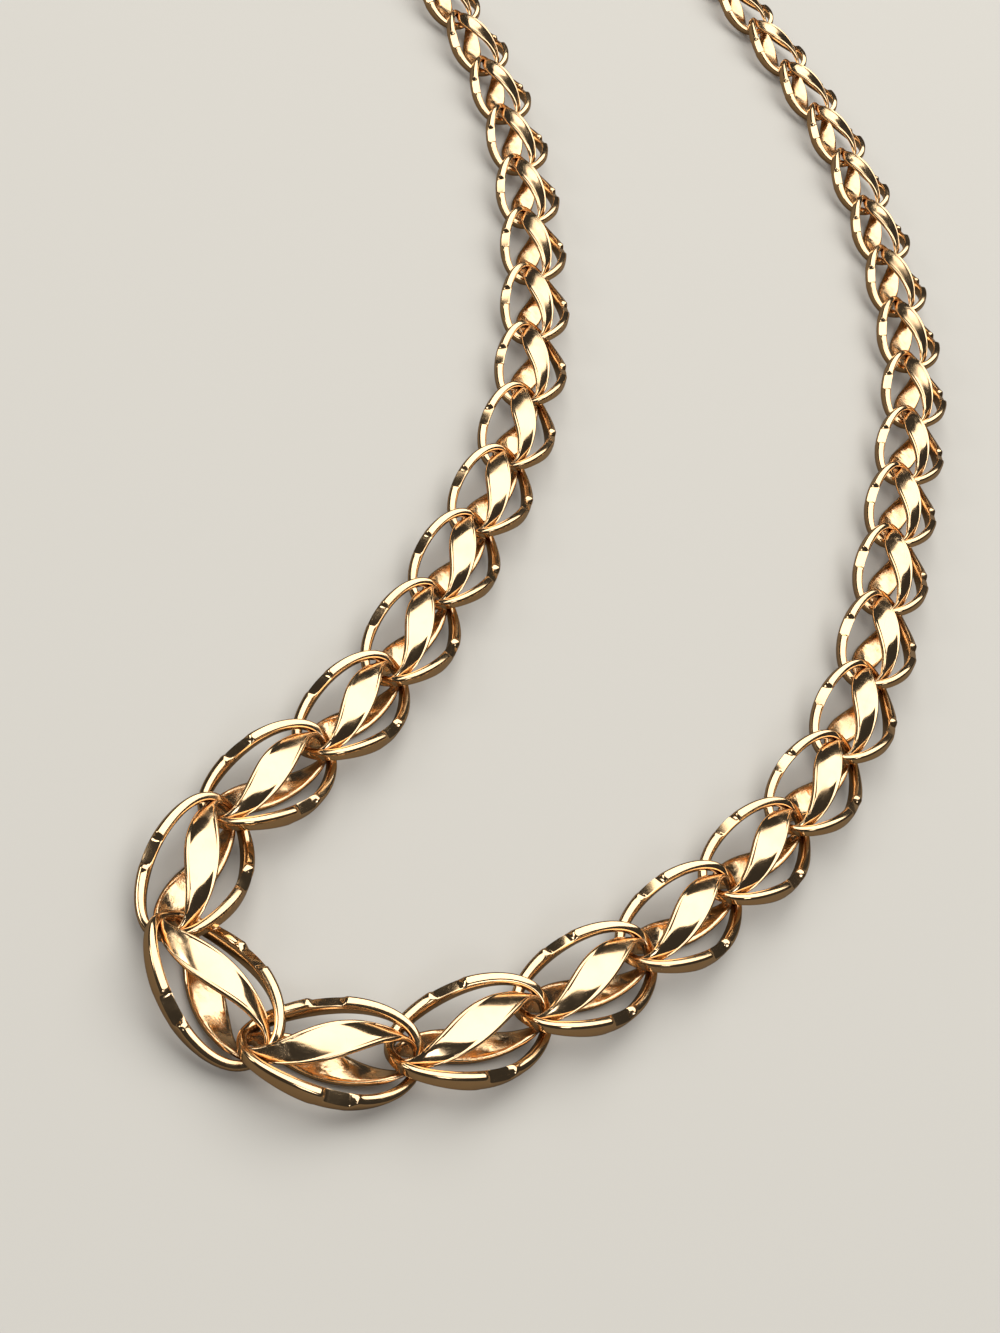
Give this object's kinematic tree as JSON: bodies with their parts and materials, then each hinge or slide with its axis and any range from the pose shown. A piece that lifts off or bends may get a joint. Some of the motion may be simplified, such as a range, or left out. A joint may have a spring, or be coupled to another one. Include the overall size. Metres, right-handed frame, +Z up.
{
  "type": "pocket watch chain",
  "caption": "Graduated chain of twisted oval links with leaf bars, with a T-bar for a buttonhole at one end and a swivel catch for a watch at the other.",
  "frame": {"origin": "on the surface that the chain lies on, under the middle of the whole piece", "axes": "+Z up from the surface, +Y from the largest link at the bottom of the U towards the T-bar and the swivel catch, +X from the T-bar arm to the swivel arm"},
  "size_m": [0.1216, 0.1716, 0.0043],
  "materials": {
    "link_gold": "rose gold, polished with fine wear scratches and a grained ground",
    "wire_gold": "rose gold wire, polished",
    "polished_gold": "rose gold, turned and polished",
    "spring_steel": "tempered spring wire"
  },
  "bodies": {
    "link_01": {"link_01": "link_gold"},
    "link_02": {"link_02": "link_gold"},
    "link_03": {"link_03": "link_gold"},
    "link_04": {"link_04": "link_gold"},
    "link_05": {"link_05": "link_gold"},
    "link_06": {"link_06": "link_gold"},
    "link_07": {"link_07": "link_gold"},
    "link_08": {"link_08": "link_gold"},
    "link_09": {"link_09": "link_gold"},
    "link_10": {"link_10": "link_gold"},
    "link_11": {"link_11": "link_gold"},
    "link_12": {"link_12": "link_gold"},
    "link_13": {"link_13": "link_gold"},
    "link_14": {"link_14": "link_gold"},
    "link_15": {"link_15": "link_gold"},
    "link_16": {"link_16": "link_gold"},
    "link_17": {"link_17": "link_gold"},
    "link_18": {"link_18": "link_gold"},
    "link_19": {"link_19": "link_gold"},
    "link_20": {"link_20": "link_gold"},
    "link_21": {"link_21": "link_gold"},
    "link_22": {"link_22": "link_gold"},
    "link_23": {"link_23": "link_gold"},
    "link_24": {"link_24": "link_gold"},
    "link_25": {"link_25": "link_gold"},
    "link_26": {"link_26": "link_gold"},
    "link_27": {"link_27": "link_gold"},
    "link_28": {"link_28": "link_gold"},
    "link_29": {"link_29": "link_gold"},
    "link_30": {"link_30": "link_gold"},
    "link_31": {"link_31": "link_gold"},
    "link_32": {"link_32": "link_gold"},
    "link_33": {"link_33": "link_gold"},
    "link_34": {"link_34": "link_gold"},
    "link_35": {"link_35": "link_gold"},
    "link_36": {"link_36": "link_gold"},
    "link_37": {"link_37": "link_gold"},
    "link_38": {"link_38": "link_gold"},
    "link_39": {"link_39": "link_gold"},
    "link_40": {"link_40": "link_gold"},
    "link_41": {"link_41": "link_gold"},
    "link_42": {"link_42": "link_gold"},
    "link_43": {"link_43": "link_gold"},
    "link_44": {"link_44": "link_gold"},
    "link_45": {"link_45": "link_gold"},
    "t_bar_jump_ring": {"t_bar_jump_ring": "wire_gold"},
    "t_bar": {"t_bar": "polished_gold", "t_bar_eye": "wire_gold"},
    "swivel_jump_ring": {"swivel_jump_ring": "wire_gold"},
    "swivel_bow": {"swivel_bow": "wire_gold", "swivel_rivet": "wire_gold"},
    "swivel_body": {"swivel_body": "polished_gold", "gate_pin": "polished_gold", "gate_spring": "spring_steel"},
    "swivel_gate": {"swivel_gate": "polished_gold"}
  },
  "joints": [
    {"name": "swing_link_23_22", "type": "hinge", "parent": "link_23", "child": "link_22", "pos_m": [-0.04701, -0.08201, 0.00215], "axis": [0, -0.7071, 0.7071], "range_deg": [-26, 48]},
    {"name": "swing_link_22_21", "type": "hinge", "parent": "link_22", "child": "link_21", "pos_m": [-0.05602, -0.07818, 0.00213], "axis": [-0.6941, -0.1349, -0.7071], "range_deg": [-48, 2]},
    {"name": "swing_link_21_20", "type": "hinge", "parent": "link_21", "child": "link_20", "pos_m": [-0.05787, -0.06868, 0.0021], "axis": [0.6941, 0.1349, -0.7071], "range_deg": [-48, 4]},
    {"name": "swing_link_20_19", "type": "hinge", "parent": "link_20", "child": "link_19", "pos_m": [-0.05146, -0.06157, 0.00208], "axis": [0.2534, -0.6601, 0.7071], "range_deg": [-24, 48]},
    {"name": "swing_link_19_18", "type": "hinge", "parent": "link_19", "child": "link_18", "pos_m": [-0.04263, -0.05817, 0.00206], "axis": [-0.2534, 0.6601, 0.7071], "range_deg": [-48, 32]},
    {"name": "swing_link_18_17", "type": "hinge", "parent": "link_18", "child": "link_17", "pos_m": [-0.03453, -0.0535, 0.00203], "axis": [0.4545, -0.5417, 0.7071], "range_deg": [-48, 33]},
    {"name": "swing_link_17_16", "type": "hinge", "parent": "link_17", "child": "link_16", "pos_m": [-0.02744, -0.04755, 0.00201], "axis": [0.4545, -0.5417, -0.7071], "range_deg": [-38, 45]},
    {"name": "swing_link_16_15", "type": "hinge", "parent": "link_16", "child": "link_15", "pos_m": [-0.02065, -0.04144, 0.00198], "axis": [-0.4912, 0.5086, -0.7071], "range_deg": [-39, 46]},
    {"name": "swing_link_15_14", "type": "hinge", "parent": "link_15", "child": "link_14", "pos_m": [-0.01416, -0.03517, 0.00196], "axis": [-0.4912, 0.5086, 0.7071], "range_deg": [-48, 35]},
    {"name": "swing_link_14_13", "type": "hinge", "parent": "link_14", "child": "link_13", "pos_m": [-0.00842, -0.02833, 0.00194], "axis": [-0.593, 0.3851, -0.7071], "range_deg": [-36, 48]},
    {"name": "swing_link_13_12", "type": "hinge", "parent": "link_13", "child": "link_12", "pos_m": [-0.00363, -0.02094, 0.00191], "axis": [0.593, -0.3851, -0.7071], "range_deg": [-37, 47]},
    {"name": "swing_link_12_11", "type": "hinge", "parent": "link_12", "child": "link_11", "pos_m": [0.00059, -0.01333, 0.00189], "axis": [0.6355, -0.31, 0.7071], "range_deg": [-48, 39]},
    {"name": "swing_link_11_10", "type": "hinge", "parent": "link_11", "child": "link_10", "pos_m": [0.00436, -0.00561, 0.00187], "axis": [-0.6355, 0.31, 0.7071], "range_deg": [-46, 37]},
    {"name": "swing_link_10_09", "type": "hinge", "parent": "link_10", "child": "link_09", "pos_m": [0.00768, 0.0022, 0.00184], "axis": [0.6725, -0.2185, 0.7071], "range_deg": [-48, 37]},
    {"name": "swing_link_09_08", "type": "hinge", "parent": "link_09", "child": "link_08", "pos_m": [0.01026, 0.01017, 0.00182], "axis": [0.6725, -0.2185, -0.7071], "range_deg": [-36, 48]},
    {"name": "swing_link_08_07", "type": "hinge", "parent": "link_08", "child": "link_07", "pos_m": [0.01212, 0.01822, 0.00179], "axis": [-0.7032, 0.0739, -0.7071], "range_deg": [-36, 48]},
    {"name": "swing_link_07_06", "type": "hinge", "parent": "link_07", "child": "link_06", "pos_m": [0.01298, 0.02633, 0.00177], "axis": [-0.7032, 0.0739, 0.7071], "range_deg": [-47, 37]},
    {"name": "swing_link_06_05", "type": "hinge", "parent": "link_06", "child": "link_05", "pos_m": [0.01326, 0.03438, 0.00175], "axis": [-0.707, -0.0123, -0.7071], "range_deg": [-39, 48]},
    {"name": "swing_link_05_04", "type": "hinge", "parent": "link_05", "child": "link_04", "pos_m": [0.01312, 0.04232, 0.00172], "axis": [0.707, 0.0123, -0.7071], "range_deg": [-38, 47]},
    {"name": "swing_link_04_03", "type": "hinge", "parent": "link_04", "child": "link_03", "pos_m": [0.01257, 0.05013, 0.0017], "axis": [0.7018, 0.0862, 0.7071], "range_deg": [-48, 40]},
    {"name": "swing_link_03_02", "type": "hinge", "parent": "link_03", "child": "link_02", "pos_m": [0.01163, 0.05779, 0.00168], "axis": [-0.7018, -0.0862, 0.7071], "range_deg": [-47, 38]},
    {"name": "swing_link_02_01", "type": "hinge", "parent": "link_02", "child": "link_01", "pos_m": [0.01031, 0.06529, 0.00165], "axis": [0.6917, 0.147, 0.7071], "range_deg": [-48, 41]},
    {"name": "t_bar_jump_ring_swing", "type": "hinge", "parent": "link_01", "child": "t_bar_jump_ring", "pos_m": [0.00871, 0.07282, 0.00176], "axis": [-0.6917, -0.147, 0.7071], "range_deg": [-20, 48]},
    {"name": "t_bar_swing", "type": "hinge", "parent": "t_bar_jump_ring", "child": "t_bar", "pos_m": [0.00805, 0.0759, 0.00188], "axis": [-0.6917, -0.147, -0.7071], "range_deg": [-33, 27]},
    {"name": "swing_link_23_24", "type": "hinge", "parent": "link_23", "child": "link_24", "pos_m": [-0.03711, -0.08201, 0.00215], "axis": [0, 0.7071, 0.7071], "range_deg": [-48, 32]},
    {"name": "swing_link_24_25", "type": "hinge", "parent": "link_24", "child": "link_25", "pos_m": [-0.02744, -0.08048, 0.00213], "axis": [-0.1949, 0.6797, -0.7071], "range_deg": [-35, 48]},
    {"name": "swing_link_25_26", "type": "hinge", "parent": "link_25", "child": "link_26", "pos_m": [-0.01813, -0.07781, 0.0021], "axis": [0.1949, -0.6797, -0.7071], "range_deg": [-35, 47]},
    {"name": "swing_link_26_27", "type": "hinge", "parent": "link_26", "child": "link_27", "pos_m": [-0.00919, -0.07438, 0.00208], "axis": [0.3428, -0.6184, 0.7071], "range_deg": [-48, 34]},
    {"name": "swing_link_27_28", "type": "hinge", "parent": "link_27", "child": "link_28", "pos_m": [-0.00092, -0.06979, 0.00206], "axis": [-0.3428, 0.6184, 0.7071], "range_deg": [-48, 32]},
    {"name": "swing_link_28_29", "type": "hinge", "parent": "link_28", "child": "link_29", "pos_m": [0.00646, -0.06403, 0.00203], "axis": [0.4912, -0.5086, 0.7071], "range_deg": [-48, 36]},
    {"name": "swing_link_29_30", "type": "hinge", "parent": "link_29", "child": "link_30", "pos_m": [0.01311, -0.05761, 0.00201], "axis": [0.4912, -0.5086, -0.7071], "range_deg": [-37, 46]},
    {"name": "swing_link_30_31", "type": "hinge", "parent": "link_30", "child": "link_31", "pos_m": [0.01934, -0.05092, 0.00198], "axis": [-0.5171, 0.4822, -0.7071], "range_deg": [-41, 45]},
    {"name": "swing_link_31_32", "type": "hinge", "parent": "link_31", "child": "link_32", "pos_m": [0.0255, -0.04432, 0.00196], "axis": [-0.5171, 0.4822, 0.7071], "range_deg": [-43, 40]},
    {"name": "swing_link_32_33", "type": "hinge", "parent": "link_32", "child": "link_33", "pos_m": [0.03158, -0.0378, 0.00194], "axis": [-0.5721, 0.4156, -0.7071], "range_deg": [-36, 48]},
    {"name": "swing_link_33_34", "type": "hinge", "parent": "link_33", "child": "link_34", "pos_m": [0.03676, -0.03067, 0.00191], "axis": [0.5721, -0.4156, -0.7071], "range_deg": [-34, 48]},
    {"name": "swing_link_34_35", "type": "hinge", "parent": "link_34", "child": "link_35", "pos_m": [0.04098, -0.02306, 0.00189], "axis": [0.6355, -0.31, 0.7071], "range_deg": [-48, 39]},
    {"name": "swing_link_35_36", "type": "hinge", "parent": "link_35", "child": "link_36", "pos_m": [0.04474, -0.01533, 0.00187], "axis": [-0.6355, 0.31, 0.7071], "range_deg": [-47, 37]},
    {"name": "swing_link_36_37", "type": "hinge", "parent": "link_36", "child": "link_37", "pos_m": [0.04792, -0.00747, 0.00184], "axis": [0.6762, -0.2067, 0.7071], "range_deg": [-48, 37]},
    {"name": "swing_link_37_38", "type": "hinge", "parent": "link_37", "child": "link_38", "pos_m": [0.05037, 0.00054, 0.00182], "axis": [0.6762, -0.2067, -0.7071], "range_deg": [-36, 48]},
    {"name": "swing_link_38_39", "type": "hinge", "parent": "link_38", "child": "link_39", "pos_m": [0.05209, 0.00863, 0.00179], "axis": [-0.7002, 0.0984, -0.7071], "range_deg": [-38, 48]},
    {"name": "swing_link_39_40", "type": "hinge", "parent": "link_39", "child": "link_40", "pos_m": [0.05323, 0.01671, 0.00177], "axis": [-0.7002, 0.0984, 0.7071], "range_deg": [-48, 36]},
    {"name": "swing_link_40_41", "type": "hinge", "parent": "link_40", "child": "link_41", "pos_m": [0.05365, 0.02474, 0.00175], "axis": [-0.707, 0.0123, -0.7071], "range_deg": [-40, 48]},
    {"name": "swing_link_41_42", "type": "hinge", "parent": "link_41", "child": "link_42", "pos_m": [0.05379, 0.03268, 0.00172], "axis": [0.707, -0.0123, -0.7071], "range_deg": [-40, 44]},
    {"name": "swing_link_42_43", "type": "hinge", "parent": "link_42", "child": "link_43", "pos_m": [0.05392, 0.04051, 0.0017], "axis": [0.707, -0.0123, 0.7071], "range_deg": [-46, 42]},
    {"name": "swing_link_43_44", "type": "hinge", "parent": "link_43", "child": "link_44", "pos_m": [0.05406, 0.04823, 0.00168], "axis": [-0.707, 0.0123, 0.7071], "range_deg": [-45, 40]},
    {"name": "swing_link_44_45", "type": "hinge", "parent": "link_44", "child": "link_45", "pos_m": [0.05419, 0.05584, 0.00165], "axis": [0.707, -0.0123, 0.7071], "range_deg": [-47, 42]},
    {"name": "swivel_jump_ring_swing", "type": "hinge", "parent": "link_45", "child": "swivel_jump_ring", "pos_m": [0.05432, 0.06354, 0.00176], "axis": [-0.707, 0.0123, 0.7071], "range_deg": [-20, 48]},
    {"name": "swivel_bow_swing", "type": "hinge", "parent": "swivel_jump_ring", "child": "swivel_bow", "pos_m": [0.05438, 0.06669, 0.00187], "axis": [-0.707, 0.0123, -0.7071], "range_deg": [-34, 26]},
    {"name": "swivel_turn", "type": "hinge", "parent": "swivel_bow", "child": "swivel_body", "pos_m": [0.05446, 0.07121, 0.00185], "axis": [0.0175, 0.9998, 0], "continuous": true},
    {"name": "gate_swing", "type": "hinge", "parent": "swivel_body", "child": "swivel_gate", "pos_m": [0.05683, 0.07519, 0.00185], "axis": [0, 0, 1], "range_deg": [0, 35], "stiffness_Nm_per_rad": 0.0002, "springref_deg": -17.19}
  ]
}
